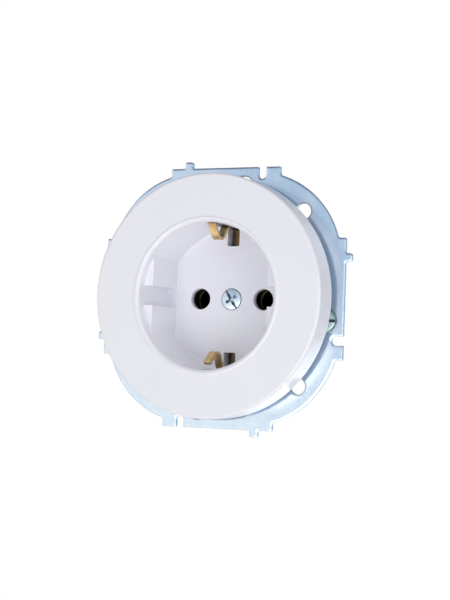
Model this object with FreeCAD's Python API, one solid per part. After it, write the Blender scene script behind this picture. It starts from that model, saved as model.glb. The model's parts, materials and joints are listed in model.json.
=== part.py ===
import FreeCAD, Part
import math
import os
from FreeCAD import Vector

# Earthed wall socket insert, type F, for a 60 mm wall box. Millimetres.
# X is to the right, Y into the wall, Z up. Y = 0 is the wall face, on which
# the support ring lies, and the origin is the middle of the ring.

# Support ring: a zinc-plated steel stamping
ring_across = 71.0
ring_thickness = 1.2
ring_land = 16.2
ring_step_fillet = 1.0
ring_edge_round = 0.3
ring_corner_centre = 9.4
ring_corner_radius = 24.8
ring_joggle = 0.7
ring_joggle_run = 0.7
ring_joggle_gap = 0.5
nib_offset = 11.0
nib_width = 2.2
nib_height = 1.8
nib_fillet = 0.4
nib_tip_round = 0.5
notch_offset = 11.0
notch_width = 2.4
notch_depth = 3.25
corner_hole_place = 23.3
corner_hole_radius = 2.15
screw_circle = 30.7
screw_angle = 10.8
keyhole_radius = 2.85
keyhole_slot_width = 4.0
keyhole_slot_angle = 13.0
tongue_width = 2.4
tongue_reach = 1.35

# Centre cover: moulded with the plug recess
cover_gap = 2.2
cover_radius = 32.8
cover_draft = 0.08
cover_edge_round = 0.7
cover_plate = 2.0
skirt_depth = 8.1
skirt_wall = 1.8
recess_radius = 19.5
recess_depth = 17.5
recess_draft = 0.25
recess_floor_fillet = 1.0
recess_wall = 1.75
recess_floor = 1.8
lip_width = 1.4
lip_height = 0.3
lip_inner_round = 1.1
pad_stand = 2.6
pad_start = 2.8
pad_groove = 5.3
rib_thickness = 1.2
rib_height = 4.0
pin_spacing = 19.0
pin_hole_radius = 2.9
pin_hole_chamfer = 0.25
clip_slot_width = 3.6
clip_slot_rise = 0.45
clip_slot_start = 2.75
clip_slot_round = 0.5
clip_chute_wall = 0.8
screw_boss_radius = 4.0

# Cover screw
cover_screw_radius = 1.5
cover_screw_head_radius = 2.85
cover_screw_head_height = 1.6
cover_screw_dome = 0.3
cover_screw_point = 0.5
cover_screw_length = 7.4
cover_screw_cross_arm = 3.5
cover_screw_cross_width = 0.85
cover_screw_recess_depth = 1.0
cover_screw_slot_width = 0.6
cover_screw_slot_depth = 0.45
cover_screw_turn = 38.0
counterbore_depth = 1.2
counterbore_clearance = 0.2
thread_clearance = 0.05

# Earth strap: one brass strip
strap_thickness = 0.8
strap_width = 2.1
strap_gap = 1.7
seat_gap = 0.2
strap_bend = 1.0
strap_upright = 1.4
clip_clearance = 0.8
clip_tip_depth = 7.2
clip_end = 11.9
clip_reach = 5.25
clip_tip_bend = 2.2
clip_foot_stand = 0.3
strap_pad_radius = 4.5
strap_collar_radius = 2.4
strap_collar_length = 2.4

# Base: two dark mouldings behind the ring
well_clearance = 0.6
base_wall = 4.4
base_floor = 2.5
base_rear_wall = 2.5
rear_radius = 23.3
rear_taper = 2.0
base_edge = 0.5
part_clearance = 0.1
pin_passage_radius = 3.2
pin_length = 19.0
pin_end_room = 2.0
chamber_half = 4.6
hub_hole_radius = 2.8
hub_hole_depth = 4.0

# Contacts
contact_thickness = 0.8
contact_plate_half = 4.2
contact_plate_corner = 1.0
leaf_neck_radius = 2.25
leaf_half_angle = 52.0
leaf_short_of_pin = 1.0
leaf_neck_start = 6.0
leaf_neck_length = 3.4
contact_spring_thickness = 0.5
contact_spring_opening = 70.0
contact_tail_width = 3.2

# Terminals
terminal_x = 12.5
terminal_z = 10.5
earth_terminal_z = 16.0
terminal_side = 7.0
terminal_length = 10.0
terminal_edge = 0.5
terminal_collar_wall = 0.4
terminal_collar_length = 0.8
wire_hole_radius = 2.0
wire_entry_radius = 2.5
wire_funnel = 1.0
terminal_screw_radius = 1.75
terminal_screw_head_radius = 3.0
terminal_screw_head_height = 2.0
terminal_screw_slot = 0.8
terminal_screw_slot_depth = 1.0
terminal_screw_lift = 0.3
screw_window_radius = 3.6

# Rivets
rivet_radius = 1.1
rivet_head_radius = 1.8
rivet_head_height = 0.9
rivet_head_crown = 0.35
rivet_hole_clearance = 0.05
rivet_closing_room = 0.2
assembly_rivet_place = 12.0
strap_rivet_place = 10.5
strap_rivet_radius = 0.6

# Claws and the screws that spread them
claw_tilt = 20.0
claw_screw_radius = 1.75
claw_screw_length = 24.0
claw_screw_tip = 0.6
claw_screw_tip_radius = 2.1
claw_head_radius = 2.85
claw_head_height = 1.8
claw_head_round = 0.4
claw_slot_width = 0.8
claw_slot_depth = 0.9
claw_seat_radius = 3.2
claw_seat_front = 1.1
claw_running_clearance = 0.05
claw_rest = 15.0
claw_thickness = 1.6
claw_half_width = 4.5
claw_inner = 3.2
claw_collar_radius = 2.7
claw_collar_length = 2.2
claw_cheek = 1.2
claw_cheek_length = 5.0
claw_cheek_outer = 1.4
claw_overhang = 3.4
claw_tooth_depth = 1.0
claw_teeth = 3
claw_tooth_gap = 2.5
groove_clearance = 0.4
groove_end_room = 2.0
clip_groove_radius = 1.35
clip_thickness = 0.5
clip_groove_width = 0.6
clip_play = 0.2
clip_radius = 2.8
clip_opening = 2.0

# Places that follow from the sizes above
axis_y = Vector(0, 1, 0)
origin = Vector(0, 0, 0)
ring_front = -ring_thickness
skirt_rear = ring_front - cover_gap
cover_face = skirt_rear - skirt_depth
recess_end = cover_face + recess_depth
recess_back = recess_end + recess_floor
recess_outer_radius = recess_radius + recess_wall
pad_half_distance = recess_radius - pad_stand
strap_front = recess_back + strap_gap
strap_back = strap_front + strap_thickness
base_split = strap_front + base_floor
base_front_face = -ring_joggle
well_radius = recess_outer_radius + well_clearance
base_radius = well_radius + base_wall
ring_opening = well_radius
joggle_start = base_radius + ring_joggle_gap
joggle_end = joggle_start + ring_joggle_run
joggle_lead = ring_thickness * math.tan(0.5 * math.atan2(ring_joggle, ring_joggle_run))
rivet_circle = 0.5 * (well_radius + base_radius)
ring_joggle_front = ring_front - ring_joggle
contact_back = base_split + contact_thickness
chamber_end = recess_end + pin_length + pin_end_room
base_back = chamber_end + base_rear_wall
leaf_end = recess_end + pin_length - leaf_short_of_pin
terminal_back = contact_back + terminal_length
pin_x = 0.5 * pin_spacing
strap_half_span = ring_opening - tongue_reach
clip_start = clip_slot_start + clip_clearance
clip_tip_place = recess_radius - clip_reach
clip_foot_place = recess_radius - clip_foot_stand
clip_slot_inner = clip_tip_place + clip_slot_rise
boss_end = strap_front - seat_gap
side_turn = math.radians(screw_angle)
claw_tilt_sine = math.sin(math.radians(claw_tilt))
claw_tilt_cosine = math.cos(math.radians(claw_tilt))
claw_seat = Vector(screw_circle * math.cos(side_turn), -claw_seat_front, -screw_circle * math.sin(side_turn))
claw_direction = Vector(-claw_tilt_sine, claw_tilt_cosine, 0)
claw_outward = Vector(claw_tilt_cosine, claw_tilt_sine, 0)
claw_reach = claw_seat.x - claw_rest * claw_tilt_sine + claw_overhang
clip_groove_start = ring_thickness + clip_play
arc_bulge = 1.0 - math.sqrt(0.5)
beyond = 1.0
far = 100.0


def cylinder(radius, start, end, x=0.0, z=0.0):
    return Part.makeCylinder(radius, end - start, Vector(x, start, z), axis_y)


def upright_cylinder(radius, x, y, low, high):
    return Part.makeCylinder(radius, high - low, Vector(x, y, low), Vector(0, 0, 1))


def cone(start_radius, end_radius, start, end, x=0.0, z=0.0):
    return Part.makeCone(start_radius, end_radius, end - start, Vector(x, start, z), axis_y)


def block(x0, x1, y0, y1, z0, z1):
    return Part.makeBox(x1 - x0, y1 - y0, z1 - z0, Vector(x0, y0, z0))


def in_section(radius, y):
    return Vector(radius, y, 0)


def edges_through(start, steps, place):
    # Two numbers are a straight run, four are an arc through a middle point.
    edges = []
    here = place(*start)
    for step in steps:
        there = place(*step[-2:])
        if len(step) == 2:
            edges.append(Part.LineSegment(here, there).toShape())
        else:
            edges.append(Part.Arc(here, place(*step[:2]), there).toShape())
        here = there
    return edges


def closed_face(start, steps, place):
    edges = edges_through(start, list(steps) + [start], place)
    return Part.Face(Part.Wire(edges))


def turned(start, steps, centre=origin, angle=360.0):
    face = closed_face(start, steps, in_section)
    solid = face.revolve(origin, axis_y, angle)
    solid.translate(centre)
    return solid


def rounded_plate(points, radius, y0, y1):
    # Closed outline in X and Z with every corner rounded, from y0 to y1.
    count = len(points)
    corners = [Vector(x, y0, z) for x, z in points]
    edges = []
    ends = []
    for index in range(count):
        corner = corners[index]
        back = (corners[index - 1] - corner).normalize()
        ahead = (corners[(index + 1) % count] - corner).normalize()
        half = 0.5 * math.acos(max(-1.0, min(1.0, back.dot(ahead))))
        leg = radius / math.tan(half)
        inward = (back + ahead).normalize()
        middle = corner + inward * (radius / math.sin(half) - radius)
        ends.append((corner + back * leg, middle, corner + ahead * leg))
    for index in range(count):
        first, middle, last = ends[index]
        edges.append(Part.Arc(first, middle, last).toShape())
        edges.append(Part.LineSegment(last, ends[(index + 1) % count][0]).toShape())
    return Part.Face(Part.Wire(edges)).extrude(Vector(0, y1 - y0, 0))


def rectangle(x0, x1, z0, z1):
    return [(x0, z0), (x1, z0), (x1, z1), (x0, z1)]


def about_y(shape, angle):
    turned_shape = shape.copy()
    turned_shape.rotate(origin, axis_y, angle)
    return turned_shape


def half_turn(shape):
    return about_y(shape, 180.0)


def both_sides(shape):
    return [shape, half_turn(shape)]


def fused(shapes):
    whole = shapes[0]
    for shape in shapes[1:]:
        whole = whole.fuse(shape)
    return whole.removeSplitter()


def cut(shape, tools):
    for tool in tools:
        shape = shape.cut(tool)
    return shape.removeSplitter()


def one_solid(shape):
    solids = shape.Solids
    if len(solids) != 1:
        raise ValueError("expected one solid, found %d" % len(solids))
    return solids[0]


def save(name, solids):
    if len(solids) == 1:
        shape = solids[0]
    else:
        shape = Part.makeCompound(solids)
    shape.exportStep("parts/" + name + ".step")
    volume = sum(solid.Volume for solid in solids)
    valid = all(solid.isValid() for solid in solids)
    print("%-24s %d solid(s) %9.1f mm3 valid %s" % (name, len(solids), volume, valid))


# Frame of a claw screw: along is the distance behind the underside of its head,
# out is the distance from its axis, away from the middle of the socket.
def on_screw(along, out, z):
    return claw_seat + claw_direction * along + claw_outward * out + Vector(0, 0, z)


def screw_cylinder(radius, start, end):
    return Part.makeCylinder(radius, end - start, on_screw(start, 0, 0), claw_direction)


def screw_block(start, end, inner, outer, low, high):
    corners = [
        on_screw(start, inner, low),
        on_screw(end, inner, low),
        on_screw(end, outer, low),
        on_screw(start, outer, low),
    ]
    face = Part.Face(Part.makePolygon(corners + [corners[0]]))
    return face.extrude(Vector(0, 0, high - low))


def ring_side_edges():
    half = 0.5 * ring_across
    corner = ring_corner_centre
    step_end = ring_land + ring_step_fillet
    drop = corner + math.sqrt(ring_corner_radius ** 2 - (step_end - corner) ** 2)
    diagonal = corner + ring_corner_radius * math.sqrt(0.5)
    bulge = arc_bulge
    nib_side = 0.5 * nib_width
    nib_left = -nib_offset - nib_side
    nib_right = -nib_offset + nib_side
    nib_top = half + nib_height
    foot = nib_fillet
    tip = nib_tip_round
    notch_left = notch_offset - 0.5 * notch_width
    notch_right = notch_offset + 0.5 * notch_width
    notch_round = half - notch_depth + 0.5 * notch_width
    edge = ring_edge_round
    fillet = ring_step_fillet
    steps = [
        (-ring_land - fillet * bulge, drop + fillet * bulge, -ring_land, drop + fillet),
        (-ring_land, half - edge),
        (-ring_land + edge * bulge, half - edge * bulge, -ring_land + edge, half),
        (nib_left - foot, half),
        (nib_left - foot * bulge, half + foot * bulge, nib_left, half + foot),
        (nib_left, nib_top - tip),
        (nib_left + tip * bulge, nib_top - tip * bulge, nib_left + tip, nib_top),
        (nib_right - tip, nib_top),
        (nib_right - tip * bulge, nib_top - tip * bulge, nib_right, nib_top - tip),
        (nib_right, half + foot),
        (nib_right + foot * bulge, half + foot * bulge, nib_right + foot, half),
        (notch_left, half),
        (notch_left, notch_round),
        (notch_offset, half - notch_depth, notch_right, notch_round),
        (notch_right, half),
        (ring_land - edge, half),
        (ring_land - edge * bulge, half - edge * bulge, ring_land, half - edge),
        (ring_land, drop + fillet),
        (ring_land + fillet * bulge, drop + fillet * bulge, step_end, drop),
        (diagonal, diagonal, drop, step_end),
    ]
    return edges_through((-step_end, drop), steps, lambda x, z: Vector(x, ring_front, z))


def ring_outline():
    side = Part.Wire(ring_side_edges())
    edges = []
    for quarter in range(4):
        edges.extend(about_y(side, 90.0 * quarter).Edges)
    return Part.Face(Part.Wire(Part.__sortEdges__(edges)))


def keyhole():
    # Slot for a wall box screw, with a wide end that passes the screw's head.
    slot = cylinder(screw_circle + 0.5 * keyhole_slot_width, ring_joggle_front, far)
    slot = slot.cut(cylinder(screw_circle - 0.5 * keyhole_slot_width, ring_joggle_front, far))
    reach = screw_circle + keyhole_slot_width
    start = math.radians(screw_angle)
    end = start - math.radians(keyhole_slot_angle + screw_angle)
    corners = [(0, 0)]
    for angle in (start, end):
        corners.append((reach * math.sin(angle), reach * math.cos(angle)))
    points = [Vector(x, ring_joggle_front, z) for x, z in corners]
    wedge = Part.Face(Part.makePolygon(points + [points[0]])).extrude(Vector(0, far, 0))
    slot = slot.common(wedge)
    x = screw_circle * math.sin(start)
    z = screw_circle * math.cos(start)
    wide_end = cylinder(keyhole_radius, ring_joggle_front, far, x, z)
    x = screw_circle * math.sin(end)
    z = screw_circle * math.cos(end)
    narrow_end = cylinder(0.5 * keyhole_slot_width, ring_joggle_front, far, x, z)
    return fused([slot, wide_end, narrow_end])


def support_ring():
    # The inner rim stands forward of the wall face, so that the base sits behind it.
    lap = joggle_end + beyond
    plate = ring_outline().extrude(Vector(0, ring_thickness, 0))
    plate = plate.cut(cylinder(joggle_end + 0.5 * beyond, ring_front - beyond, beyond))
    rim = turned(
        (ring_opening, ring_joggle_front),
        [
            (joggle_start + joggle_lead, ring_joggle_front),
            (joggle_end + joggle_lead, ring_front),
            (lap, ring_front),
            (lap, 0),
            (joggle_end, 0),
            (joggle_start, base_front_face),
            (ring_opening, base_front_face),
        ],
    )
    ring = fused([plate, rim])
    half = 0.5 * tongue_width
    tongue_root = ring_opening + beyond
    tongue = block(-half, half, ring_joggle_front, base_front_face, strap_half_span, tongue_root)
    ring = fused([ring] + both_sides(tongue))
    tools = both_sides(keyhole())
    for x in (-corner_hole_place, corner_hole_place):
        for z in (-corner_hole_place, corner_hole_place):
            tools.append(cylinder(corner_hole_radius, ring_front, 0, x, z))
    tools += both_sides(screw_cylinder(claw_seat_radius, -2 * ring_thickness, 2 * ring_thickness))
    tools += rivet_holes(ring_rivet_places(), ring_joggle_front, 0)
    ring = cut(ring, tools)
    seat = screw_cylinder(claw_seat_radius, 0, ring_thickness)
    seat = seat.cut(screw_cylinder(claw_screw_radius + claw_running_clearance, 0, ring_thickness))
    return one_solid(fused([ring] + both_sides(seat)))


def ring_rivet_places():
    reach = rivet_circle * math.sqrt(0.5)
    return [(x, z) for x in (reach, -reach) for z in (reach, -reach)]


def assembly_rivet_places():
    place = assembly_rivet_place
    return [(place, -place), (-place, place)]


def rivet_holes(places, start, end):
    radius = rivet_radius + rivet_hole_clearance
    return [cylinder(radius, start, end, x, z) for x, z in places]


def rivet_rooms(places, start, end):
    radius = rivet_head_radius + rivet_closing_room
    return [cylinder(radius, start, end, x, z) for x, z in places]


def recess_pad():
    # The part of the wall that fills the recess beyond the keying flat.
    start = cover_face + pad_start
    outer = recess_radius + 0.5 * recess_wall
    segment = cylinder(outer, start, recess_end + 0.5 * recess_floor)
    half_groove = 0.5 * pad_groove
    upper = block(pad_half_distance, far, start, far, half_groove, far)
    lower = block(pad_half_distance, far, start, far, -far, -half_groove)
    return [segment.common(upper), segment.common(lower)]


def clip_slot():
    # One opening from the slot's start down through the floor, cut from behind.
    half = 0.5 * clip_slot_width
    behind = strap_front
    outside = recess_outer_radius + 2 * beyond
    wall_start = cover_face + clip_slot_start
    wall = rectangle(-half, half, recess_radius - beyond, outside)
    floor = rectangle(-half, half, clip_slot_inner, outside)
    in_wall = rounded_plate(wall, clip_slot_round, wall_start, behind)
    in_floor = rounded_plate(floor, clip_slot_round, recess_end - recess_floor_fillet, behind)
    return fused([in_wall, in_floor])


def clip_chute():
    # Walls round a slot behind the floor, which guide the clip down to its strap.
    half = 0.5 * clip_slot_width + clip_chute_wall
    start = recess_end + 0.5 * recess_floor
    low = clip_slot_inner - clip_chute_wall
    walls = block(-half, half, start, boss_end, low, recess_outer_radius)
    return walls.common(cylinder(recess_outer_radius, start, boss_end))


def centre_cover():
    plate_back = cover_face + cover_plate
    skirt_outer = cover_radius + cover_draft
    skirt_inner = skirt_outer - skirt_wall
    mouth = recess_radius + recess_draft
    lip_outer = mouth + lip_width
    lip_top = cover_face - lip_height
    edge = cover_edge_round
    bulge = arc_bulge
    fillet = recess_floor_fillet
    floor_start = recess_end - fillet
    inner = lip_inner_round
    shell = turned(
        (0, recess_end),
        [
            (recess_radius - fillet, recess_end),
            (recess_radius - fillet * bulge, recess_end - fillet * bulge, recess_radius, floor_start),
            (mouth, lip_top + inner),
            (mouth + inner * bulge, lip_top + inner * bulge, mouth + inner, lip_top),
            (lip_outer - lip_height * bulge, lip_top + lip_height * bulge, lip_outer, cover_face),
            (cover_radius - edge, cover_face),
            (cover_radius - edge * bulge, cover_face + edge * bulge, cover_radius, cover_face + edge),
            (skirt_outer, skirt_rear),
            (skirt_inner, skirt_rear),
            (skirt_inner, plate_back),
            (recess_outer_radius + recess_draft, plate_back),
            (recess_outer_radius, recess_back),
            (0, recess_back),
        ],
    )
    parts = [shell]
    for pad in recess_pad():
        parts += both_sides(pad)
    rib_inner = recess_outer_radius - 0.5 * recess_wall
    rib_outer = skirt_inner + 0.5 * skirt_wall
    half = 0.5 * rib_thickness
    rib = block(rib_inner, rib_outer, plate_back - 0.5 * cover_plate, plate_back + rib_height, -half, half)
    for quarter in range(4):
        parts.append(about_y(rib, 45.0 + 90.0 * quarter))
    parts.append(cylinder(screw_boss_radius, recess_end + 0.5 * recess_floor, boss_end))
    parts += both_sides(clip_chute())
    cover = fused(parts)
    tools = both_sides(clip_slot())
    chamfer = pin_hole_chamfer
    for x in (-pin_x, pin_x):
        tools.append(cylinder(pin_hole_radius, recess_end, recess_back, x))
        tools.append(cone(pin_hole_radius + chamfer, pin_hole_radius, recess_end, recess_end + chamfer, x))
    head_room = cover_screw_head_radius + counterbore_clearance
    tools.append(cylinder(head_room, recess_end, recess_end + counterbore_depth))
    tools.append(cylinder(cover_screw_radius + counterbore_clearance, recess_end, boss_end))
    return one_solid(cut(cover, tools))


def cover_screw():
    seat = recess_end + counterbore_depth
    front = seat - cover_screw_head_height
    rim = front + cover_screw_dome
    end = seat + cover_screw_length
    point = cover_screw_point
    head = cover_screw_head_radius
    screw = turned(
        (0, front),
        [
            (0.5 * head, front + 0.25 * cover_screw_dome, head, rim),
            (head, seat),
            (cover_screw_radius, seat),
            (cover_screw_radius, end - point),
            (cover_screw_radius - point, end),
            (0, end),
        ],
    )
    arm = 0.5 * cover_screw_cross_arm
    half = 0.5 * cover_screw_cross_width
    bottom = front + cover_screw_recess_depth
    bar = block(-arm, arm, front - beyond, bottom, -half, half)
    cross = fused([bar, about_y(bar, 90.0)])
    slot_half = 0.5 * cover_screw_slot_width
    slot = block(-head, head, front - beyond, front + cover_screw_slot_depth, -slot_half, slot_half)
    recess = about_y(fused([cross, slot]), -cover_screw_turn)
    return one_solid(cut(screw, [recess]))


def bent_path(points, radii):
    # Open path in Y and Z, given as (y, z), with a bend of its own radius at each inner point.
    places = [Vector(0, y, z) for y, z in points]
    edges = []
    here = places[0]
    for index in range(1, len(places) - 1):
        corner = places[index]
        back = (places[index - 1] - corner).normalize()
        ahead = (places[index + 1] - corner).normalize()
        half = 0.5 * back.getAngle(ahead)
        radius = radii[index - 1]
        leg = radius / math.tan(half)
        first = corner + back * leg
        last = corner + ahead * leg
        middle = corner + (back + ahead).normalize() * (radius / math.sin(half) - radius)
        edges.append(Part.LineSegment(here, first).toShape())
        edges.append(Part.Arc(first, middle, last).toShape())
        here = last
    edges.append(Part.LineSegment(here, places[-1]).toShape())
    return Part.Wire(edges)


def strip_face(points, radii, thickness):
    # Face between a bent path and its twin at the strip's thickness, to the left of the path.
    left = []
    last = len(points) - 1
    for index, (y, z) in enumerate(points):
        normals = []
        if index > 0:
            normals.append(left_normal(points[index - 1], points[index]))
        if index < last:
            normals.append(left_normal(points[index], points[index + 1]))
        if len(normals) == 1:
            shift = normals[0]
        else:
            total = (normals[0][0] + normals[1][0], normals[0][1] + normals[1][1])
            scale = 2.0 / (total[0] ** 2 + total[1] ** 2)
            shift = (total[0] * scale, total[1] * scale)
        left.append((y + thickness * shift[0], z + thickness * shift[1]))
    twin_radii = []
    for index in range(1, last):
        before = left_normal(points[index - 1], points[index])
        after = left_normal(points[index], points[index + 1])
        turns_left = before[0] * after[1] - before[1] * after[0] > 0
        change = -thickness if turns_left else thickness
        twin_radii.append(radii[index - 1] + change)
    near = bent_path(points, radii)
    other = bent_path(left, twin_radii)
    first_cap = Part.LineSegment(Vector(0, *points[0]), Vector(0, *left[0])).toShape()
    last_cap = Part.LineSegment(Vector(0, *points[-1]), Vector(0, *left[-1])).toShape()
    edges = near.Edges + other.Edges + [first_cap, last_cap]
    return Part.Face(Part.Wire(Part.__sortEdges__(edges)))


def left_normal(first, second):
    along_y = second[0] - first[0]
    along_z = second[1] - first[1]
    length = math.hypot(along_y, along_z)
    return (-along_z / length, along_y / length)


def earth_strap():
    # Half of the strip, from the middle of the recess floor up to the top clip's end.
    outer = strap_half_span
    foot = clip_foot_place + strap_thickness
    points = [
        (strap_back, 0),
        (strap_back, outer),
        (cover_face + clip_end + strap_upright, outer),
        (cover_face + clip_end, foot),
        (cover_face + clip_tip_depth, clip_tip_place + strap_thickness),
        (cover_face + clip_start, foot),
    ]
    outer_bend = strap_bend + strap_thickness
    radii = [outer_bend, strap_bend, outer_bend, clip_tip_bend]
    half = strip_face(points, radii, strap_thickness)
    half_strip = half.extrude(Vector(strap_width, 0, 0))
    half_strip.translate(Vector(-0.5 * strap_width, 0, 0))
    pad = cylinder(strap_pad_radius, strap_front, strap_back)
    collar = cylinder(strap_collar_radius, strap_back, strap_back + strap_collar_length)
    strap = fused(both_sides(half_strip) + [pad, collar])
    tools = [cylinder(cover_screw_radius + thread_clearance, strap_front - beyond, far)]
    for z in (-strap_rivet_place, strap_rivet_place):
        tools.append(cylinder(strap_rivet_radius + rivet_hole_clearance, strap_front - beyond, far, 0, z))
    return one_solid(cut(strap, tools))


def claw_groove():
    # The way cut in the base for a claw and its screw.
    room = claw_half_width + groove_clearance
    end = claw_screw_length + groove_end_room
    return screw_block(ring_thickness, end, -claw_inner - groove_clearance, far, -room, room)


def terminal_window(x, z, direction):
    # Round way in for the screwdriver, from the terminal out to the side of the base.
    y = contact_back + 0.5 * terminal_length
    if direction > 0:
        return upright_cylinder(screw_window_radius, x, y, z, z + rear_radius)
    return upright_cylinder(screw_window_radius, x, y, z - rear_radius, z)


def terminal_places():
    return [
        ("neutral", terminal_x, terminal_z, 1),
        ("line", -terminal_x, -terminal_z, -1),
        ("earth", 0.0, -earth_terminal_z, -1),
    ]


def terminal_pocket(x, z, start):
    half = 0.5 * terminal_side + part_clearance
    return block(x - half, x + half, start, terminal_back, z - half, z + half)


def contact_outline(grow):
    # Plate round the pin with a tail to the terminal block, for the right-hand contact.
    half = contact_plate_half + grow
    tail_left = pin_x + contact_plate_half - contact_tail_width - grow
    tail_right = pin_x + contact_plate_half + grow
    end = 0.5 * terminal_side + grow
    corner = contact_plate_corner
    middle = rectangle(pin_x - half, pin_x + half, -half, half)
    plate = rounded_plate(middle, corner, base_split, contact_back)
    tail = block(tail_left, tail_right, base_split, contact_back, 0, terminal_z)
    left = terminal_x - end
    low = terminal_z - end
    shoe = block(left, left + 2 * end, base_split, contact_back, low, low + 2 * end)
    return fused([plate, tail, shoe])


def socket_base_front():
    shell = turned(
        (0, strap_front),
        [
            (well_radius, strap_front),
            (well_radius, base_front_face),
            (base_radius, base_front_face),
            (base_radius, base_split),
            (0, base_split),
        ],
    )
    half = 0.5 * strap_width + part_clearance
    span = strap_half_span + part_clearance
    tools = [block(-half, half, strap_front, strap_back, -span, span)]
    tools.append(cylinder(strap_pad_radius + part_clearance, strap_front, strap_back))
    tools.append(cylinder(hub_hole_radius, strap_front, base_split))
    for x in (-pin_x, pin_x):
        tools.append(cylinder(pin_passage_radius, strap_front, base_split, x))
    for z in (-strap_rivet_place, strap_rivet_place):
        tools.append(cylinder(strap_rivet_radius + rivet_hole_clearance, strap_front, base_split, 0, z))
    tools.append(terminal_pocket(0, -earth_terminal_z, strap_back))
    tools += both_sides(claw_groove())
    tools += rivet_holes(ring_rivet_places(), base_front_face, base_split)
    tools += rivet_holes(assembly_rivet_places(), strap_front, base_split)
    tools += rivet_rooms(assembly_rivet_places(), strap_front, strap_front + rivet_head_height)
    return one_solid(cut(shell, tools))


def socket_base_rear():
    edge = base_edge
    back_radius = rear_radius - rear_taper
    shell = turned(
        (0, base_split),
        [
            (rear_radius, base_split),
            (rear_radius, terminal_back),
            (back_radius, base_back - edge),
            (back_radius - edge, base_back),
            (0, base_back),
        ],
    )
    tools = both_sides(contact_outline(part_clearance))
    tools.append(cylinder(hub_hole_radius, base_split, base_split + hub_hole_depth))
    for x in (-pin_x, pin_x):
        half = chamber_half
        tools.append(block(x - half, x + half, base_split, chamber_end, -half, half))
    for name, x, z, direction in terminal_places():
        tools.append(terminal_pocket(x, z, base_split))
        tools.append(terminal_window(x, z, direction))
        tools.append(cylinder(wire_entry_radius, terminal_back, base_back, x, z))
        mouth = base_back - wire_funnel
        tools.append(cone(wire_entry_radius, wire_entry_radius + wire_funnel, mouth, base_back, x, z))
    tools += both_sides(claw_groove())
    head_room = rivet_head_height + rivet_closing_room
    tools += rivet_rooms(ring_rivet_places(), base_split, base_split + head_room)
    tools += rivet_holes(assembly_rivet_places(), base_split, base_back)
    tools += rivet_rooms(assembly_rivet_places(), base_back - rivet_head_height, base_back)
    return one_solid(cut(shell, tools))


def contact():
    # Right-hand contact: two leaves that grip the pin, bent back out of one plate.
    neck_outer = leaf_neck_radius + contact_thickness
    neck_start = contact_back + leaf_neck_start
    neck_end = neck_start + leaf_neck_length
    mouth = pin_hole_radius
    mouth_outer = mouth + contact_thickness
    leaf = turned(
        (mouth, base_split),
        [
            (mouth, contact_back),
            (leaf_neck_radius, neck_start),
            (leaf_neck_radius, neck_end),
            (mouth, leaf_end),
            (mouth_outer, leaf_end),
            (neck_outer, neck_end),
            (neck_outer, neck_start),
            (mouth_outer, contact_back),
            (mouth_outer, base_split),
        ],
        angle=2 * leaf_half_angle,
    )
    right_leaf = about_y(leaf, -leaf_half_angle)
    left_leaf = half_turn(right_leaf)
    plate = contact_outline(0.0).cut(cylinder(pin_hole_radius, base_split, contact_back, pin_x))
    leaves = []
    for side in (right_leaf, left_leaf):
        side.translate(Vector(pin_x, 0, 0))
        leaves.append(side)
    return one_solid(fused([plate] + leaves))


def contact_spring():
    start = contact_back + leaf_neck_start
    end = start + leaf_neck_length
    inner = leaf_neck_radius + contact_thickness + thread_clearance
    outer = inner + contact_spring_thickness
    angle = 360.0 - contact_spring_opening
    spring = turned((inner, start), [(outer, start), (outer, end), (inner, end)], angle=angle)
    spring = about_y(spring, 90.0 + 0.5 * contact_spring_opening)
    spring.translate(Vector(pin_x, 0, 0))
    return one_solid(spring)


def terminal_block(x, z, direction, start):
    half = 0.5 * terminal_side
    edge = terminal_edge
    collar_end = terminal_back + terminal_collar_length
    body = rounded_plate(rectangle(x - half, x + half, z - half, z + half), edge, start, terminal_back)
    collar = cylinder(wire_hole_radius + terminal_collar_wall, terminal_back - beyond, collar_end, x, z)
    body = fused([body, collar])
    wire = cylinder(wire_hole_radius, contact_back, collar_end, x, z)
    y = contact_back + 0.5 * terminal_length
    radius = terminal_screw_radius + thread_clearance
    low = z if direction > 0 else z - terminal_side
    thread = upright_cylinder(radius, x, y, low, low + terminal_side)
    return one_solid(cut(body, [wire, thread]))


def terminal_screw(x, z, direction):
    # Made pointing up out of its block, then turned over for a block that faces down.
    y = contact_back + 0.5 * terminal_length
    tip = wire_hole_radius + part_clearance
    under_head = 0.5 * terminal_side + terminal_screw_lift
    top = under_head + terminal_screw_head_height
    shank = upright_cylinder(terminal_screw_radius, 0, 0, tip, under_head)
    head = upright_cylinder(terminal_screw_head_radius, 0, 0, under_head, top)
    half = 0.5 * terminal_screw_slot
    reach = terminal_screw_head_radius
    slot = block(-half, half, -reach, reach, top - terminal_screw_slot_depth, top)
    screw = cut(fused([shank, head]), [slot])
    if direction < 0:
        screw = half_turn(screw)
    screw.translate(Vector(x, y, z))
    return one_solid(screw)


def rivet(x, z, seat, closing):
    # Shank between two round heads, whose undersides lie at seat and at closing.
    top = seat - rivet_head_height
    end = closing + rivet_head_height
    crown = rivet_head_crown
    solid = turned(
        (0, top),
        [
            (rivet_head_radius - crown, top),
            (rivet_head_radius, top + crown),
            (rivet_head_radius, seat),
            (rivet_radius, seat),
            (rivet_radius, closing),
            (rivet_head_radius, closing),
            (rivet_head_radius, end - crown),
            (rivet_head_radius - crown, end),
            (0, end),
        ],
        Vector(x, 0, z),
    )
    return one_solid(solid)


def ring_rivet(x, z):
    return rivet(x, z, ring_joggle_front, base_split)


def assembly_rivet(x, z):
    return rivet(x, z, strap_front + rivet_head_height, base_back - rivet_head_height)


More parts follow.
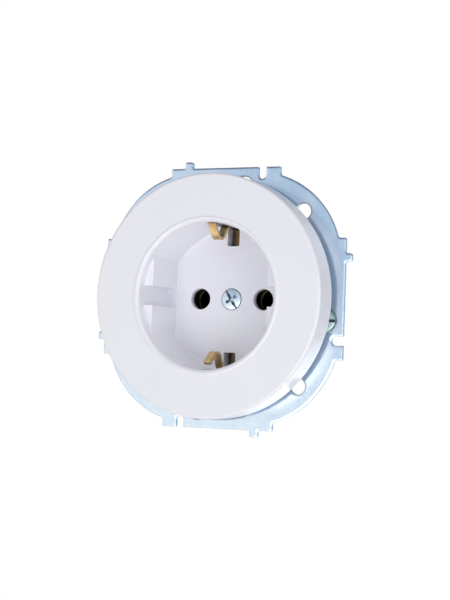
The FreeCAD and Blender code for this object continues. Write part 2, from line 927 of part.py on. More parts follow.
def claw_screw():
    # Turned about its own axis in plain coordinates, then laid along the leaning one.
    front = -claw_head_height
    edge = claw_head_round
    bulge = arc_bulge
    head = claw_head_radius
    groove = clip_groove_start
    tip = claw_screw_length - claw_screw_tip
    screw = turned(
        (0, front),
        [
            (head - edge, front),
            (head - edge * bulge, front + edge * bulge, head, front + edge),
            (head, 0),
            (claw_screw_radius, 0),
            (claw_screw_radius, groove),
            (clip_groove_radius, groove),
            (clip_groove_radius, groove + clip_groove_width),
            (claw_screw_radius, groove + clip_groove_width),
            (claw_screw_radius, tip),
            (claw_screw_tip_radius, tip),
            (claw_screw_tip_radius, claw_screw_length),
            (0, claw_screw_length),
        ],
    )
    half = 0.5 * claw_slot_width
    slot = block(-head, head, front, front + claw_slot_depth, -half, half)
    return one_solid(laid_on_screw(cut(screw, [slot])))


def laid_on_screw(shape):
    laid = shape.copy()
    laid.rotate(origin, Vector(0, 0, 1), claw_tilt)
    laid.translate(claw_seat)
    return laid


def claw_clip():
    # Open retaining ring in the screw's groove, just behind the support ring.
    start = clip_groove_start + 0.5 * (clip_groove_width - clip_thickness)
    end = start + clip_thickness
    hole = cylinder(clip_groove_radius + thread_clearance, start, end)
    half = 0.5 * clip_opening
    opening = block(-half, half, start, end, 0, far)
    ring = cut(cylinder(clip_radius, start, end), [hole, opening])
    return one_solid(laid_on_screw(ring))


def claw():
    # Bent steel plate: toothed outer edge, drawn collar for the thread, two guiding cheeks.
    front = claw_rest
    back = front + claw_thickness
    width = claw_half_width
    foot = screw_block(front, back, -claw_inner, claw_reach, -width, width)
    cheek_end = back + claw_cheek_length
    cheeks = [
        screw_block(front, cheek_end, -claw_inner, claw_cheek_outer, -width, claw_cheek - width),
        screw_block(front, cheek_end, -claw_inner, claw_cheek_outer, width - claw_cheek, width),
    ]
    collar = screw_cylinder(claw_collar_radius, back, back + claw_collar_length)
    body = fused([foot, collar] + cheeks)
    body = body.common(cylinder(claw_reach, 0, far))
    tools = [screw_cylinder(claw_screw_radius + claw_running_clearance, front, cheek_end)]
    pitch = 2.0 * width / claw_teeth
    root = claw_reach - claw_tooth_depth
    for tooth in range(claw_teeth - 1):
        z = claw_seat.z - width + (tooth + 1) * pitch
        tools.append(tooth_gap(z, root))
    return one_solid(cut(body, tools))


def tooth_gap(z, root):
    # Notch between two teeth, pointing at the middle of the socket.
    angle = math.asin(z / claw_reach)
    deep = Vector(root * math.cos(angle), 0, root * math.sin(angle))
    outer = claw_reach + beyond
    middle = Vector(outer * math.cos(angle), 0, outer * math.sin(angle))
    across = Vector(-math.sin(angle), 0, math.cos(angle)) * (0.5 * claw_tooth_gap)
    corners = [deep, middle + across, middle - across, deep]
    return Part.Face(Part.makePolygon(corners)).extrude(Vector(0, far, 0))


def strap_rivet(z):
    return cylinder(strap_rivet_radius, strap_front, base_split, 0, z)


os.makedirs("parts", exist_ok=True)

save("centre_cover", [centre_cover()])
save("cover_screw", [cover_screw()])
save("support_ring", [support_ring()])
save("socket_base_front", [socket_base_front()])
save("socket_base_rear", [socket_base_rear()])
save("earth_strap", [earth_strap()])

right_contact = contact()
save("neutral_contact", [right_contact])
save("line_contact", [half_turn(right_contact)])
right_spring = contact_spring()
save("neutral_contact_spring", [right_spring])
save("line_contact_spring", [half_turn(right_spring)])

screws = []
for name, x, z, direction in terminal_places():
    start = strap_back if name == "earth" else contact_back
    save(name + "_terminal", [terminal_block(x, z, direction, start)])
    screws.append(terminal_screw(x, z, direction))
save("terminal_screws", screws)

save("ring_rivets", [ring_rivet(x, z) for x, z in ring_rivet_places()])
save("assembly_rivets", [assembly_rivet(x, z) for x, z in assembly_rivet_places()])
save("strap_rivets", [strap_rivet(z) for z in (strap_rivet_place, -strap_rivet_place)])

right_screw = claw_screw()
right_clip = claw_clip()
right_claw = claw()
for side, turn in (("right", 0.0), ("left", 180.0)):
    save("claw_screw_" + side, [about_y(right_screw, turn)])
    save("claw_clip_" + side, [about_y(right_clip, turn)])
    save("claw_" + side, [about_y(right_claw, turn)])
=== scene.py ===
import json
import math

import bmesh
import bpy
from mathutils import Matrix, Vector


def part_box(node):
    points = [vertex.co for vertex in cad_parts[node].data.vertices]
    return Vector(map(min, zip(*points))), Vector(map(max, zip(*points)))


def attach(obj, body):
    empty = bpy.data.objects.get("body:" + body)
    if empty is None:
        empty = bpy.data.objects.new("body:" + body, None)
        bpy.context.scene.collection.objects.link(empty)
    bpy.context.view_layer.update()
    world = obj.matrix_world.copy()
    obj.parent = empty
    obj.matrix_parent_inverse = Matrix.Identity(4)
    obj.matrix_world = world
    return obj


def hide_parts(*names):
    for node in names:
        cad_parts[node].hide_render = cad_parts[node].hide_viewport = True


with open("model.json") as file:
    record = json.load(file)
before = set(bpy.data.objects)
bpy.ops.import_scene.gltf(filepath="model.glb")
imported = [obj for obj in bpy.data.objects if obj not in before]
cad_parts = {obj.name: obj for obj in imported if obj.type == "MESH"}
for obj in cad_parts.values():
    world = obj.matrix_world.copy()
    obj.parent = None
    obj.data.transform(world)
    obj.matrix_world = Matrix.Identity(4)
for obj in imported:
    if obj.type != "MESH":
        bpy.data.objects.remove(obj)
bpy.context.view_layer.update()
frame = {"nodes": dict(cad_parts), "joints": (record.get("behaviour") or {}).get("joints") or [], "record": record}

mm = 0.001
weld = 0.001 * mm        # vertices closer than this are one
flatWithin = 0.2         # degrees: faces that meet at less are parts of one plane
toRamp = 0.1             # a ramp runs from 0 to 1, so lengths in mm go into it times this
rolledSamples = 6        # rays that round the shading of an edge

joints = {joint["name"]: joint for joint in frame["joints"]}
bodyOf = {}
for bodyName, members in frame["record"]["behaviour"]["bodies"].items():
    for member in members:
        bodyOf[member] = bodyName
slotOf = {row["node"]: row["material_slot"] for row in frame["record"]["subparts"]}


class Sock:
    # an output socket of a shader node; sums and products of it add Math nodes
    def __init__(self, tree, out):
        self.tree = tree
        self.out = out

    def node(self, kind, settings=None, sockets=None, output=0):
        made = self.tree.nodes.new(kind)
        for key, value in (settings or {}).items():
            if key == "stops":
                setStops(made.color_ramp, value)
            else:
                setattr(made, key, value)
        for key, value in (sockets or {}).items():
            if isinstance(value, Sock):
                self.tree.links.new(value.out, made.inputs[key])
            else:
                made.inputs[key].default_value = value
        return Sock(self.tree, made.outputs[output])

    def combine(self, operation, other):
        return self.node("ShaderNodeMath", {"operation": operation}, {0: self, 1: other})

    def __add__(self, other):
        return self.combine("ADD", other)

    def __radd__(self, other):
        return self.combine("ADD", other)

    def __sub__(self, other):
        return self.combine("SUBTRACT", other)

    def __mul__(self, other):
        return self.combine("MULTIPLY", other)

    def __pow__(self, other):
        return self.combine("POWER", other)

    def below(self, limit):
        return self.combine("LESS_THAN", limit)

    def size(self):
        return self.node("ShaderNodeMath", {"operation": "ABSOLUTE"}, {0: self})

    def axis(self, index):
        return self.node("ShaderNodeSeparateXYZ", None, {"Vector": self}, index)


def setStops(ramp, stops):
    while len(ramp.elements) < len(stops):
        ramp.elements.new(0.5)
    for element, (position, level) in zip(ramp.elements, stops):
        element.position = position
        element.color = (level, level, level, 1)


def newMaterial(name, colour, roughness, metallic=0.0, **constants):
    material = bpy.data.materials.new(name)
    material.use_nodes = True
    tree = material.node_tree
    shader = tree.nodes["Principled BSDF"]
    shader.inputs["Base Color"].default_value = (*colour, 1)
    shader.inputs["Roughness"].default_value = roughness
    shader.inputs["Metallic"].default_value = metallic
    for key, value in constants.items():
        shader.inputs[key].default_value = value
    place = Sock(tree, tree.nodes.new("ShaderNodeTexCoord").outputs["Object"])
    return material, shader, place


def feed(shader, socketName, sock):
    sock.tree.links.new(sock.out, shader.inputs[socketName])


def noise(place, scale, detail=2.0, rough=0.5, stretch=(1, 1, 1)):
    # scale is per metre; the grain is drawn out along an axis where stretch is small
    laid = place.node("ShaderNodeMapping", None, {"Vector": place, "Scale": stretch})
    sockets = {"Vector": laid, "Scale": scale, "Detail": detail, "Roughness": rough}
    return place.node("ShaderNodeTexNoise", None, sockets)


def ramp(value, stops):
    return value.node("ShaderNodeValToRGB", {"stops": stops}, {"Fac": value})


def blendColours(factor, first, second):
    sockets = {0: factor, 6: (*first, 1) if isinstance(first, tuple) else first}
    sockets[7] = (*second, 1) if isinstance(second, tuple) else second
    return factor.node("ShaderNodeMix", {"data_type": "RGBA"}, sockets, 2)


def bump(height, strength, distance, rolled=0.0):
    # distance in mm; rolled rounds the shading of an edge over so many mm
    sockets = {"Strength": strength, "Distance": distance * mm, "Height": height}
    if rolled:
        settings = {"samples": rolledSamples}
        sockets["Normal"] = height.node("ShaderNodeBevel", settings, {"Radius": rolled * mm})
    return height.node("ShaderNodeBump", None, sockets)


def whitePlastic():
    # glossy injection-moulded white, with a faint flow pattern and a fine skin
    look = {
        "light": (0.90, 0.90, 0.96), "shade": (0.88, 0.88, 0.945), "roughness": 0.24, "uneven": 0.08,
        "flow": 90, "haze": 700, "skin": 1600, "relief": 0.05, "depth": 0.02,
    }
    material, shader, place = newMaterial("coverPlastic", look["light"], look["roughness"], IOR=1.5)
    flow = ramp(noise(place, look["flow"], 3, 0.55, (1, 0.4, 1)), [(0.3, 0), (0.7, 1)])
    haze = noise(place, look["haze"], 3) * look["uneven"]
    feed(shader, "Base Color", blendColours(flow, look["shade"], look["light"]))
    feed(shader, "Roughness", look["roughness"] - 0.5 * look["uneven"] + haze)
    feed(shader, "Normal", bump(noise(place, look["skin"], 2), look["relief"], look["depth"]))
    return material


# painted shade in the pin bores: black close round either pin axis, fading out a little further off, up to a depth
# behind the front
pinBoreShade = {"aside": 9.5, "end": 28.0, "fullShade": 3.6, "shadeEdge": 4.4, "colour": (0.006, 0.006, 0.005)}


def paintedBoreShade(place):
    # painted shade inside the two bores behind the pin holes, which turns the base plastic black there; the closed
    # back keeps its colour
    across = place.axis(0).size() - pinBoreShade["aside"] * mm
    height = place.axis(2)
    radius = (across * across + height * height) ** 0.5 * (1 / mm)
    around = ramp(radius * toRamp, [(pinBoreShade["fullShade"] * toRamp, 1), (pinBoreShade["shadeEdge"] * toRamp, 0)])
    return around * place.axis(1).below(pinBoreShade["end"] * mm)


def darkPlastic():
    # greenish black thermoset with a mineral filler that shows as fine specks
    look = {
        "dark": (0.040, 0.060, 0.047), "green": (0.080, 0.125, 0.095), "roughness": 0.42, "uneven": 0.2,
        "cloud": 520, "specks": 3800, "speckShare": 0.3, "skin": 2600, "relief": 0.2, "depth": 0.03,
    }
    material, shader, place = newMaterial("basePlastic", look["dark"], look["roughness"], IOR=1.55)
    cloud = noise(place, look["cloud"], 4, 0.65)
    specks = ramp(noise(place, look["specks"], 2, 0.6), [(0.58, 0), (0.68, 1)])
    patches = ramp(cloud, [(0.3, 0), (0.75, 1)])
    mixed = patches * (1 - look["speckShare"]) + specks * look["speckShare"]
    colour = blendColours(mixed, look["dark"], look["green"])
    # the base colour gets painted shade inside the pin bores
    feed(shader, "Base Color", blendColours(paintedBoreShade(place), colour, pinBoreShade["colour"]))
    feed(shader, "Roughness", look["roughness"] - 0.4 * look["uneven"] + cloud * look["uneven"])
    feed(shader, "Normal", bump(noise(place, look["skin"], 3, 0.6), look["relief"], look["depth"]))
    return material


platedLook = {"patches": [(0.32, 0), (0.68, 1)], "finer": 14, "depth": 0.02}


def plated(
    name, bright, dull, roughness, scale,
    lines=(1, 1, 1), grain=0.12, relief=0.12, rolled=0.0, sunk=None,
):
    # plated steel: cloudy passivation over the rolled or turned grain of the metal
    material, shader, place = newMaterial(name, bright, roughness, 1.0)
    cloud = noise(place, scale, 4, 0.6)
    grainLines = noise(place, scale * platedLook["finer"], 3, 0.7, lines)
    colour = blendColours(ramp(cloud, platedLook["patches"]), dull, bright)
    # sunk lays a painted shade colour over what its mask picks out
    if sunk:
        colour = blendColours(sunk["where"](place), colour, sunk["colour"])
    uneven = 0.6 * grain
    feed(shader, "Base Color", colour)
    feed(shader, "Roughness", roughness - 0.5 * grain + cloud * uneven + grainLines * uneven)
    feed(shader, "Normal", bump(grainLines, relief, platedLook["depth"], rolled))
    return material


stripLook = {
    "bloom": 260, "grain": 2400, "bloomShare": 0.6, "patches": [(0.36, 0), (0.62, 1)],
    "smoother": 0.06, "uneven": 0.16, "relief": 0.25, "depth": 0.02,
}


def strip(name, bright, dull, roughness, lines, sunk=None):
    # rolled brass: fine lines along the strip, and a brown bloom
    material, shader, place = newMaterial(name, bright, roughness, 1.0)
    bloom = noise(place, stripLook["bloom"], 4, 0.6)
    grain = noise(place, stripLook["grain"], 3, 0.7, lines)
    mixed = bloom * stripLook["bloomShare"] + grain * (1 - stripLook["bloomShare"])
    colour = blendColours(ramp(mixed, stripLook["patches"]), dull, bright)
    # sunk lays painted shade, with tarnish, over what its mask picks out
    if sunk:
        colour = blendColours(sunk["where"](place), colour, sunk["colour"])
    feed(shader, "Base Color", colour)
    feed(shader, "Roughness", roughness - stripLook["smoother"] + grain * stripLook["uneven"])
    feed(shader, "Normal", bump(grain, stripLook["relief"], stripLook["depth"]))
    return material


def inClawSlotShade(place):
    # painted shade in the slot across the head of either claw screw
    offset = (place.axis(2).size() - clawSlotShade["height"] * mm).size()
    return offset.below(clawSlotShade["halfWidth"] * mm) * place.axis(1).below(clawSlotShade["behind"] * mm)


# painted shade: the slot across the claw screw heads is coloured dark, where shade falls
clawSlotShade = {
    "where": inClawSlotShade, "colour": (0.06, 0.075, 0.07),
    "height": 5.75, "halfWidth": 0.42, "behind": -0.6,   # mm
}


def inCrossRecessShade(place):
    # painted shade behind the dome of the head: its cross recess and its side are coloured darker grey
    depth = place.axis(1) * (1 / mm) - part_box("cover_screw")[0][1] / mm
    flat = place.node("ShaderNodeVectorMath", {"operation": "MULTIPLY"}, {0: place, 1: (1, 0, 1)})
    fromAxis = place.node("ShaderNodeVectorMath", {"operation": "LENGTH"}, {0: flat}, 1) * (1 / mm)
    shadeEdge = crossRecessShade["shadeEdge"]
    outer = ramp(fromAxis, [(shadeEdge, crossRecessShade["middleShade"]), (shadeEdge + crossRecessShade["fade"], 1)])
    return ramp(depth, [(crossRecessShade["from"], 0), (crossRecessShade["to"], 1)]) * outer


# painted shade: dark grey laid in the cross recess and down the head's side, with less of it in the middle
crossRecessShade = {
    "where": inCrossRecessShade, "colour": (0.16, 0.22, 0.28),
    "from": 0.28, "to": 0.40,                             # mm behind the top of the head
    "shadeEdge": 0.3, "middleShade": 0.3, "fade": 0.4,         # the middle stays brighter; mm, share, mm
}


def shadedAndUnrubbed(place):
    # the strap behind its clips, which no plug rubs bright: brown there, partly tarnish and partly painted shade
    depth = place.axis(1) * (1 / mm) * toRamp + strapShadeAndTarnish["shift"]
    return ramp(depth, [(strapShadeAndTarnish["from"], 0), (strapShadeAndTarnish["to"], 1)])


# painted shade with tarnish: the strap turns brown deeper in, behind the floor of the recess
strapShadeAndTarnish = {
    "where": shadedAndUnrubbed, "colour": (0.24, 0.15, 0.075),
    "shift": 0.5, "from": 0.56, "to": 0.62,               # levels of the ramp
}

looks = {
    "cover_plastic": whitePlastic(),
    "base_plastic": darkPlastic(),
    "ring_zinc": plated(
        "ringZinc", (0.80, 0.90, 0.985), (0.69, 0.81, 0.94), 0.19, 220,
        grain=0.2, relief=0.5, rolled=0.9,
    ),
    "screw_zinc": plated(
        # the cover screw gets painted shade in its cross recess
        "screwZinc", (0.86, 0.94, 0.99), (0.66, 0.76, 0.84), 0.32, 700, sunk=crossRecessShade,
    ),
    "screw_passivated": plated(
        # the claw screws get painted shade in their head slots
        "screwPassivated", (0.62, 0.74, 0.64), (0.48, 0.58, 0.53), 0.30, 500, sunk=clawSlotShade,
    ),
    "claw_steel": plated("clawSteel", (0.58, 0.62, 0.66), (0.44, 0.48, 0.52), 0.34, 300, (0.1, 1, 1)),
    "rivet_steel": plated("rivetSteel", (0.60, 0.64, 0.68), (0.48, 0.52, 0.56), 0.30, 400),
    "spring_steel": plated(
        "springSteel", (0.34, 0.36, 0.39), (0.22, 0.23, 0.26), 0.32, 400, (1, 0.1, 1),
    ),
    "clip_brass": strip(
        "clipBrass", (0.86, 0.64, 0.32), (0.46, 0.30, 0.12), 0.30, (1, 0.04, 0.04), sunk=strapShadeAndTarnish,
    ),
    # the contacts' brass is darkened to near black: a shaded copy of the brass, painted shade for the inside of
    # the pin holes
    "contact_brass": strip("contactBrassShaded", (0.20, 0.14, 0.065), (0.06, 0.04, 0.02), 0.34, (1, 1, 0.05)),
    "terminal_brass": strip("terminalBrass", (0.76, 0.58, 0.30), (0.50, 0.35, 0.16), 0.30, (1, 1, 0.1)),
}
print("materials made:", len(looks))


def finishPiece(bm, node, finish):
    # makes the object that stands for a CAD node, with its edges broken as the real ones are
    mesh = bpy.data.meshes.new(node.replace("_", "-") + "-piece")
    bm.to_mesh(mesh)
    bm.free()
    mesh.polygons.foreach_set("use_smooth", [True] * len(mesh.polygons))
    mesh.set_sharp_from_angle(angle=math.radians(finish["smoothBelow"]))
    mesh.materials.append(looks[slotOf[node]])
    piece = bpy.data.objects.new(mesh.name, mesh)
    bpy.context.scene.collection.objects.link(piece)
    if finish["edge"] > 0:
        rounding = piece.modifiers.new("edges", "BEVEL")
        rounding.width = finish["edge"] * mm
        rounding.segments = finish["segments"]
        rounding.limit_method = "ANGLE"
        rounding.angle_limit = math.radians(finish["smoothBelow"])
    weighted = piece.modifiers.new("evenShading", "WEIGHTED_NORMAL")
    weighted.keep_sharp = True
    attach(piece, bodyOf[node])
    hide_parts(node)
    return piece


def mergedCopy(node):
    bm = bmesh.new()
    bm.from_mesh(frame["nodes"][node].data)
    bmesh.ops.remove_doubles(bm, verts=bm.verts, dist=weld)
    bmesh.ops.dissolve_limit(bm, angle_limit=math.radians(flatWithin), verts=bm.verts, edges=bm.edges)
    return bm


def dress(node, finish):
    finishPiece(mergedCopy(node), node, finish)


def everything(bm):
    return bm.verts[:] + bm.edges[:] + bm.faces[:]


def cutSquare(bm, place, outward):
    # cuts off what lies beyond a plane and closes the cut
    cut = bmesh.ops.bisect_plane(
        bm, geom=everything(bm), plane_co=place, plane_no=outward, clear_outer=True,
    )
    rim = [part for part in cut["geom_cut"] if isinstance(part, bmesh.types.BMEdge)]
    bmesh.ops.edgeloop_fill(bm, edges=rim)


def addTo(bm, other):
    # joins a second bmesh to the first as a solid of its own
    mesh = bpy.data.meshes.new("joined")
    other.to_mesh(mesh)
    other.free()
    bm.from_mesh(mesh)
    bpy.data.meshes.remove(mesh)


threadForm = {
    "depth": 0.61,         # of the V, in pitches
    "spareTurns": 3,
    "startTurns": 1.507,   # cut off at the start, so that the cut misses the rows of vertices
}


def threadedRod(thread, start, direction, length):
    # one V of the thread swept up a helix along +Z, cut square, closed and laid in its place
    pitch = thread["pitch"] * mm
    crest = thread["radius"] * mm
    root = crest - threadForm["depth"] * pitch
    flat = thread["crestFlat"] * pitch
    rod = bmesh.new()
    section = [(root, 0), (crest, 0.5 * (pitch - flat)), (crest, 0.5 * (pitch + flat)), (root, pitch)]
    points = [rod.verts.new((radius, 0, height)) for radius, height in section]
    lines = [rod.edges.new(pair) for pair in zip(points, points[1:])]
    turns = math.ceil(length / pitch) + threadForm["spareTurns"]
    steps = thread["stepsPerTurn"]
    bmesh.ops.spin(
        rod, geom=points + lines, cent=(0, 0, 0), axis=(0, 0, 1), dvec=(0, 0, pitch / steps),
        angle=2 * math.pi * turns, steps=steps * turns,
    )
    bmesh.ops.remove_doubles(rod, verts=rod.verts, dist=weld)
    bmesh.ops.translate(rod, verts=rod.verts, vec=(0, 0, -threadForm["startTurns"] * pitch))
    cutSquare(rod, (0, 0, 0), (0, 0, -1))
    cutSquare(rod, (0, 0, length), (0, 0, 1))
    turn = Vector((0, 0, 1)).rotation_difference(direction).to_matrix()
    bmesh.ops.transform(rod, verts=rod.verts, matrix=Matrix.Translation(start) @ turn.to_4x4())
    bmesh.ops.recalc_face_normals(rod, faces=rod.faces)
    return rod


def solidBoxes(node):
    # lowest and highest corner of each separate solid in a node, in the order of its vertices
    bm = mergedCopy(node)
    left = set(bm.verts)
    boxes = []
    for seed in bm.verts:
        if seed not in left:
            continue
        left.remove(seed)
        found = [seed]
        for vert in found:
            for edge in vert.link_edges:
                other = edge.other_vert(vert)
                if other in left:
                    left.remove(other)
                    found.append(other)
        spans = [[vert.co[axis] for vert in found] for axis in range(3)]
        boxes.append((Vector([min(span) for span in spans]), Vector([max(span) for span in spans])))
    bm.free()
    return boxes


# white cover, moulded in one piece: thin edges at the slots, the pads and the pin holes
coverFinish = {"edge": 0.12, "segments": 3, "smoothBelow": 34.0}
dress("centre_cover", coverFinish)

# sheared from sheet: its outline is rolled over, and its material rounds it further
ringFinish = {"edge": 0.10, "segments": 2, "smoothBelow": 34.0}
dress("support_ring", ringFinish)

# earth strap with its two spring clips, of which the lower stands further in
strapFinish = {
    "edge": 0.13, "segments": 3, "smoothBelow": 34.0,
    "bendFront": 0.1, "bendOut": -19.6,   # mm: where the lower clip is bent
    "bentIn": 12.0,                       # degrees
}


def makeEarthStrap():
    bm = mergedCopy("earth_strap")
    front = strapFinish["bendFront"] * mm
    lowerClip = [vert for vert in bm.verts if vert.co.z < 0 and vert.co.y < front]
    pivot = (0, front, strapFinish["bendOut"] * mm)
    turn = Matrix.Rotation(math.radians(-strapFinish["bentIn"]), 3, "X")
    bmesh.ops.rotate(bm, cent=pivot, matrix=turn, verts=lowerClip)
    finishPiece(bm, "earth_strap", strapFinish)


makeEarthStrap()

# the two dark mouldings
baseFinish = {"edge": 0.15, "segments": 2, "smoothBelow": 34.0}
for node in ("socket_base_front", "socket_base_rear"):
    dress(node, baseFinish)
print("cover, ring, strap and base made")

# contacts, their springs and the terminal blocks
contactFinish = {"edge": 0.08, "segments": 2, "smoothBelow": 34.0}
for node in ("line_contact", "neutral_contact", "line_contact_spring", "neutral_contact_spring"):
    dress(node, contactFinish)
terminalFinish = {"edge": 0.12, "segments": 2, "smoothBelow": 34.0}
for node in ("line_terminal", "neutral_terminal", "earth_terminal"):
    dress(node, terminalFinish)
print("contacts and terminals made")

# claws of bent steel plate, and the open rings that hold their screws
clawFinish = {"edge": 0.16, "segments": 2, "smoothBelow": 34.0}
for node in ("claw_right", "claw_left", "claw_clip_right", "claw_clip_left"):
    dress(node, clawFinish)

clawScrew = {
    "edge": 0.10, "segments": 2, "smoothBelow": 34.0,
    "pitch": 0.6, "radius": 1.75, "crestFlat": 0.16, "stepsPerTurn": 24,
    "threadStart": 3.4, "threadEnd": 23.4,   # mm behind the head's underside
    "overlap": 0.2,                          # mm that the thread reaches into neck and tip
}


def makeClawScrew(side):
    # head and neck from the CAD node, then a real thread up to the upset tip
    node = "claw_screw_" + side
    joint = joints[side + "_screw_turn"]
    seat = Vector(joint["pos_m"])
    direction = Vector(joint["axis"]).normalized()
    if direction.y < 0:
        direction = -direction
    first = seat + direction * (clawScrew["threadStart"] * mm)
    last = seat + direction * (clawScrew["threadEnd"] * mm)
    bm = mergedCopy(node)
    cutSquare(bm, first, direction)
    tip = mergedCopy(node)
    cutSquare(tip, last, -direction)
    addTo(bm, tip)
    start = first - direction * (clawScrew["overlap"] * mm)
    length = (last - first).length + 2 * clawScrew["overlap"] * mm
    addTo(bm, threadedRod(clawScrew, start, direction, length))
    finishPiece(bm, node, clawScrew)


for side in ("right", "left"):
    makeClawScrew(side)
print("claws and their screws made")

coverScrew = {
    "edge": 0.06, "segments": 2, "smoothBelow": 30.0,
    "pitch": 0.5, "radius": 1.5, "crestFlat": 0.16, "stepsPerTurn": 24,
    "headHeight": 1.6, "pointLength": 0.5,
    "neck": 0.1, "overlap": 0.2, "longer": 0.3,   # mm: plain neck, thread into the head and in all
    "turned": 95.0,                               # degrees on from the CAD screw
}


def makeCoverScrew():
    low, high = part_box("cover_screw")
    under = low[1] + coverScrew["headHeight"] * mm
    end = high[1] - coverScrew["pointLength"] * mm
    bm = mergedCopy("cover_screw")
    cutSquare(bm, (0, under + coverScrew["neck"] * mm, 0), (0, 1, 0))
    point = mergedCopy("cover_screw")
    cutSquare(point, (0, end, 0), (0, -1, 0))
    addTo(bm, point)
    start = Vector((0, under - coverScrew["overlap"] * mm, 0))
    length = end - under + coverScrew["longer"] * mm
    addTo(bm, threadedRod(coverScrew, start, Vector((0, 1, 0)), length))
    turn = Matrix.Rotation(math.radians(coverScrew["turned"]), 3, "Y")
    bmesh.ops.rotate(bm, cent=(0, 0, 0), matrix=turn, verts=bm.verts)
    finishPiece(bm, "cover_screw", coverScrew)


makeCoverScrew()

terminalScrew = {
    "edge": 0.12, "segments": 2, "smoothBelow": 34.0,
    "pitch": 0.6, "radius": 1.75, "crestFlat": 0.16, "stepsPerTurn": 20,
    "headHeight": 2.0,
    "neck": 0.1, "overlap": 0.2,   # mm: plain neck, and thread into the head
    "keepWithin": 0.51,            # widths from the middle: beyond lie the other screws
}


def makeTerminalScrews():
    # the heads keep their slots from the CAD node, the shanks get a thread
    bm = bmesh.new()
    for low, high in solidBoxes("terminal_screws"):
        middle = 0.5 * (low + high)
        up = 1 if middle.z > 0 else -1
        top = high.z if up > 0 else low.z
        under = top - up * terminalScrew["headHeight"] * mm
        tip = low.z if up > 0 else high.z
        one = mergedCopy("terminal_screws")
        for axis, sign in ((0, 1), (0, -1), (2, 1), (2, -1)):
            reach = [middle.x, 0, middle.z]
            reach[axis] += sign * (high[axis] - low[axis]) * terminalScrew["keepWithin"]
            outward = [0, 0, 0]
            outward[axis] = sign
            bmesh.ops.bisect_plane(
                one, geom=everything(one), plane_co=reach, plane_no=outward, clear_outer=True,
            )
        cutSquare(one, (0, 0, under - up * terminalScrew["neck"] * mm), (0, 0, -up))
        addTo(bm, one)
        start = Vector((middle.x, middle.y, tip))
        length = abs(under - tip) + terminalScrew["overlap"] * mm
        addTo(bm, threadedRod(terminalScrew, start, Vector((0, 0, up)), length))
    finishPiece(bm, "terminal_screws", terminalScrew)


makeTerminalScrews()
print("screws made")

rivetShape = {
    "edge": 0.0, "segments": 1, "smoothBelow": 34.0,
    "shank": 1.1, "headHeight": 0.9, "dome": 0.55, "domeSteps": 5, "around": 40,
}


def rivetOutline(head, front, back):
    # radius and y from the middle of the front to that of the back, round a domed head at each end
    dome = rivetShape["dome"] * mm
    height = rivetShape["headHeight"] * mm
    half = [(0, 0)]
    for step in range(rivetShape["domeSteps"] + 1):
        angle = 0.5 * math.pi * step / rivetShape["domeSteps"]
        half.append((head - dome * (1 - math.sin(angle)), dome * (1 - math.cos(angle))))
    half += [(head, height), (rivetShape["shank"] * mm, height)]
    outline = [(radius, front + depth) for radius, depth in half]
    return outline + [(radius, back - depth) for radius, depth in reversed(half)]


def turned(bm, outline, x, z):
    # turns an outline, which starts and ends on the axis, about a line along Y
    around = rivetShape["around"]
    rings = []
    for radius, y in outline:
        ring = []
        for step in range(around if radius > 0 else 1):
            angle = 2 * math.pi * step / around
            ring.append(bm.verts.new((x + radius * math.cos(angle), y, z + radius * math.sin(angle))))
        rings.append(ring)
    for ring, other in zip(rings, rings[1:]):
        for step in range(around):
            here, there = step % len(ring), step % len(other)
            hereNext, thereNext = (step + 1) % len(ring), (step + 1) % len(other)
            corners = [ring[here], other[there], other[thereNext], ring[hereNext]]
            bm.faces.new(list(dict.fromkeys(corners)))


def makeRivets(node):
    # a turned shank with a domed head at each end, as wide and long as the node's own solids
    bm = bmesh.new()
    for low, high in solidBoxes(node):
        middle = 0.5 * (low + high)
        turned(bm, rivetOutline(0.5 * (high.x - low.x), low.y, high.y), middle.x, middle.z)
    finishPiece(bm, node, rivetShape)


makeRivets("ring_rivets")
makeRivets("assembly_rivets")
strapRivet = {"edge": 0.1, "segments": 2, "smoothBelow": 34.0}
dress("strap_rivets", strapRivet)
print("rivets made")

camera = {
    "azimuth": 24.509, "elevation": -2.905, "roll": 2.088,   # degrees
    "distance": 392.961, "aside": 5.445, "above": -1.260,    # mm, from the cover's face
    "focalPixels": 1480.987, "pixelsHigh": 600, "coverFace": -11.5,
    "sensor": 36.0, "nearest": 0.01,                         # mm and m
}


def makeCamera():
    azimuth, elevation, roll = (math.radians(camera[key]) for key in ("azimuth", "elevation", "roll"))
    level = math.cos(elevation)
    back = Vector((math.sin(azimuth) * level, -math.cos(azimuth) * level, math.sin(elevation)))
    levelRight = Vector((math.cos(azimuth), math.sin(azimuth), 0))
    levelUp = back.cross(levelRight)
    right = math.cos(roll) * levelRight + math.sin(roll) * levelUp
    up = -math.sin(roll) * levelRight + math.cos(roll) * levelUp
    eye = back * camera["distance"] + right * camera["aside"] + up * camera["above"]
    eye.y += camera["coverFace"]
    data = bpy.data.cameras.new("camera")
    data.sensor_width = camera["sensor"]
    data.lens = camera["focalPixels"] / camera["pixelsHigh"] * data.sensor_width
    data.clip_start = camera["nearest"]
    holder = bpy.data.objects.new("camera", data)
    turn = Matrix((right, up, back)).transposed()
    holder.matrix_world = Matrix.Translation(eye * mm) @ turn.to_4x4()
    bpy.context.scene.collection.objects.link(holder)
    bpy.context.scene.camera = holder


lamps = {   # places and sizes in m, power in W; all of them point at the ring's middle
    "keyLamp": {"place": (0.05, -0.95, -0.42), "size": 0.6, "power": 2.7},
    "lowLamp": {"place": (0.05, -0.60, -0.80), "size": 0.5, "power": 0.9},
    "topLamp": {"place": (0.35, -0.85, 0.55), "size": 0.6, "power": 1.1},
    "sideLamp": {"place": (0.80, -0.50, -0.20), "size": 0.7, "power": 2.6},
}


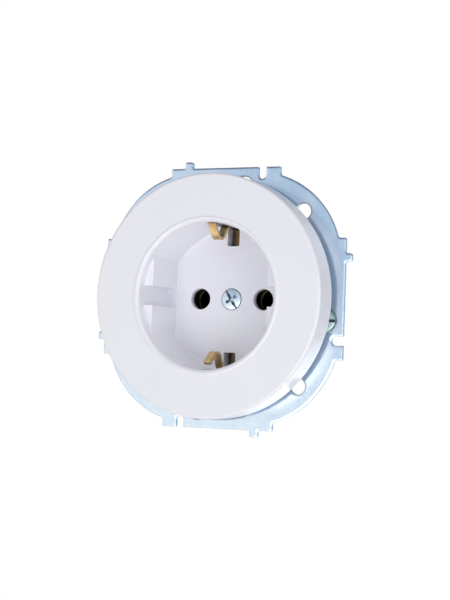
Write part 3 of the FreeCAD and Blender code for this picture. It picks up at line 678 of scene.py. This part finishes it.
def makeLamps():
    for name, lamp in lamps.items():
        data = bpy.data.lights.new(name, "AREA")
        data.shape = "RECTANGLE"
        data.size = lamp["size"]
        data.size_y = lamp["size"]
        data.energy = lamp["power"]
        holder = bpy.data.objects.new(name, data)
        place = Vector(lamp["place"])
        holder.location = place
        holder.rotation_mode = "QUATERNION"
        holder.rotation_quaternion = (-place).to_track_quat("-Z", "Y")
        bpy.context.scene.collection.objects.link(holder)


studio = {
    "floorDrop": 1.0, "floorSize": 12.0, "floorColour": 0.8, "floorRoughness": 0.8,
    "plainLight": 0.47,                                   # the room's light on what doesn't mirror it
    "mirrorLow": (1.0, 1.0, 1.0), "mirrorMiddle": (0.41, 0.52, 0.66), "mirrorTop": (0.03, 0.045, 0.09),
    "lowTilt": 0.5, "lowShift": 0.66, "lowEdge": [(0.475, 0), (0.537, 1)],   # slants down to the right
    "topShift": 0.5, "topEdge": [(0.62, 0), (0.85, 1)],
}


def makeFloor():
    bm = bmesh.new()
    bmesh.ops.create_grid(bm, x_segments=1, y_segments=1, size=0.5 * studio["floorSize"])
    bmesh.ops.translate(bm, verts=bm.verts, vec=(0, 0, -studio["floorDrop"]))
    mesh = bpy.data.meshes.new("floor")
    bm.to_mesh(mesh)
    bm.free()
    colour = (studio["floorColour"],) * 3
    material, shader = newMaterial("floor", colour, studio["floorRoughness"])[:2]
    tree = material.node_tree
    path = tree.nodes.new("ShaderNodeLightPath")
    seen = Sock(tree, path.outputs["Is Camera Ray"])
    for kind in ("Is Glossy Ray", "Is Transmission Ray"):
        seen = seen.combine("MAXIMUM", Sock(tree, path.outputs[kind]))
    glow = seen.node("ShaderNodeEmission", None, {"Color": (1, 1, 1, 1), "Strength": 1.0})
    plain = Sock(tree, shader.outputs[0])
    mixed = seen.node("ShaderNodeMixShader", None, {0: seen, 1: plain, 2: glow})
    tree.links.new(mixed.out, tree.nodes["Material Output"].inputs["Surface"])
    mesh.materials.append(material)
    floor = bpy.data.objects.new("floor", mesh)
    bpy.context.scene.collection.objects.link(floor)


def makeWorld():
    # white for the camera; metal mirrors a room with a white lower part, blue-grey walls, a dark top
    world = bpy.data.worlds.new("studio")
    world.use_nodes = True
    tree = world.node_tree
    tree.nodes.clear()
    path = tree.nodes.new("ShaderNodeLightPath")
    seen = Sock(tree, path.outputs["Is Camera Ray"])
    mirrored = Sock(tree, path.outputs["Is Glossy Ray"])
    through = Sock(tree, path.outputs["Is Transmission Ray"])
    upward = Sock(tree, tree.nodes.new("ShaderNodeTexCoord").outputs["Generated"])
    height = upward.axis(2) * 0.5
    aside = upward.axis(0) * studio["lowTilt"]
    lower = ramp(height + aside + studio["lowShift"], studio["lowEdge"])
    upper = ramp(height + studio["topShift"], studio["topEdge"])
    room = blendColours(lower, studio["mirrorLow"], studio["mirrorMiddle"])
    room = blendColours(upper, room, studio["mirrorTop"])
    plain = (studio["plainLight"],) * 3
    shown = mirrored.combine("MAXIMUM", through)
    colour = blendColours(seen, blendColours(shown, plain, room), (1.0, 1.0, 1.0))
    sky = seen.node("ShaderNodeBackground", None, {"Color": colour, "Strength": 1.0})
    out = tree.nodes.new("ShaderNodeOutputWorld")
    tree.links.new(sky.out, out.inputs["Surface"])
    bpy.context.scene.world = world


makeCamera()
makeFloor()
makeWorld()
makeLamps()
bpy.context.scene.view_settings.view_transform = "Standard"
print("camera, lamps and floor made")
